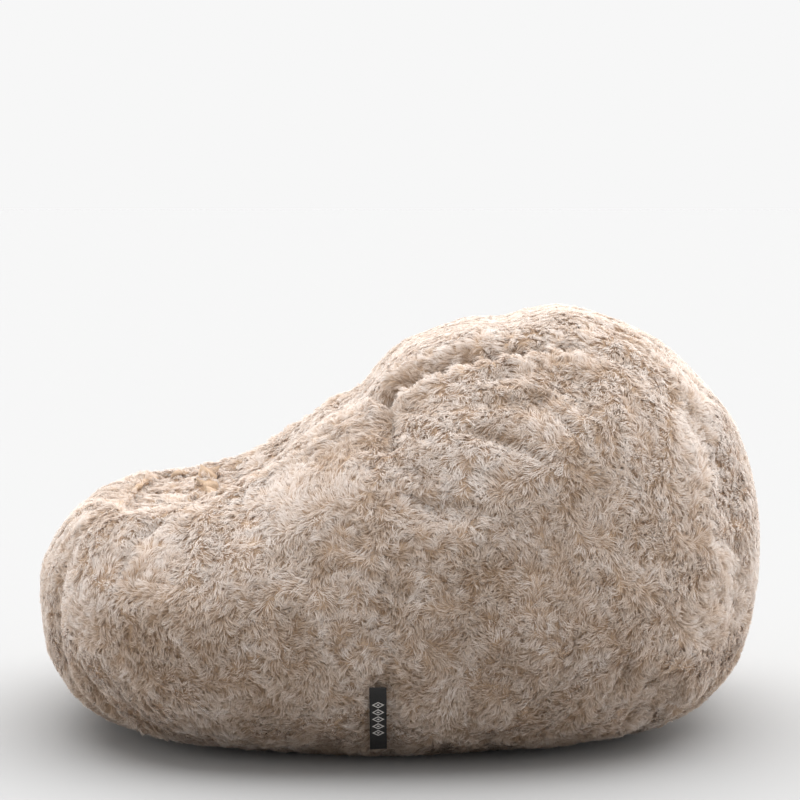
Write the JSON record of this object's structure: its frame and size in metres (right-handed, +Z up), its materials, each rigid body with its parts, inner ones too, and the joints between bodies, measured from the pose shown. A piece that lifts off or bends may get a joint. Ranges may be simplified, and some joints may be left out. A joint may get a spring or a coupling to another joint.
{
  "type": "bean bag chair",
  "caption": "Low lounge bean bag chair with a long-pile cover, a dished seat, a raised rounded back, side seams with a small woven label and a zipped flat base.",
  "frame": {"origin": "on the floor under the middle of the bounding box", "axes": "+Z up, -Y the way the sitter faces, +X the sitter's left"},
  "size_m": [0.86, 0.9448, 0.548],
  "materials": {
    "long_pile": "long wavy frosted pile in cream, pinkish grey and brown",
    "base_fabric": "matt non-slip woven",
    "sewing_thread": "spun polyester",
    "woven_label": "dense satin weave",
    "printed_label": "smooth satin",
    "cover_zip": "woven tape and moulded teeth",
    "zip_metal": "satin",
    "liner_fabric": "thin woven polyester",
    "liner_thread": "spun polyester",
    "liner_zip": "woven tape and moulded teeth",
    "foam_beads": "expanded polystyrene beads"
  },
  "bodies": {
    "bag": {"front_panel": "long_pile", "seat_panel": "long_pile", "back_panel": "long_pile", "rear_panel": "long_pile", "left_front_side_panel": "long_pile", "left_rear_side_panel": "long_pile", "right_front_side_panel": "long_pile", "right_rear_side_panel": "long_pile", "base_front_panel": "base_fabric", "base_rear_panel": "base_fabric", "left_top_seam": "sewing_thread", "right_top_seam": "sewing_thread", "roll_seam": "sewing_thread", "seat_seam": "sewing_thread", "crown_seam": "sewing_thread", "left_side_seam": "sewing_thread", "right_side_seam": "sewing_thread", "base_seam": "sewing_thread", "care_label": "printed_label", "cover_zip_front_tape": "cover_zip", "cover_zip_rear_tape": "cover_zip", "cover_zip_front_teeth": "cover_zip", "cover_zip_rear_teeth": "cover_zip", "cover_zip_stops": "zip_metal", "liner_left_panel": "liner_fabric", "liner_right_panel": "liner_fabric", "liner_base_front": "liner_fabric", "liner_base_rear": "liner_fabric", "liner_seam": "liner_thread", "liner_zip_front_tape": "liner_zip", "liner_zip_rear_tape": "liner_zip", "liner_zip_front_teeth": "liner_zip", "liner_zip_rear_teeth": "liner_zip", "liner_zip_stops": "zip_metal", "bean_fill": "foam_beads"},
    "cover_slider": {"cover_zip_slider": "zip_metal"},
    "liner_slider": {"liner_zip_slider": "zip_metal"},
    "label": {"side_label": "woven_label"}
  },
  "joints": [
    {"name": "cover_zip_slide", "type": "slide", "parent": "bag", "child": "cover_slider", "axis": [-1, 0, 0], "range_m": [0, 0.432]},
    {"name": "liner_zip_slide", "type": "slide", "parent": "bag", "child": "liner_slider", "axis": [-1, 0, 0], "range_m": [0, 0.288]},
    {"name": "side_label_fold", "type": "hinge", "parent": "bag", "child": "label", "pos_m": [0.38022, -0.016, 0.05922], "axis": [0.7051, 0, 0.7091], "range_deg": [0, 150]}
  ]
}
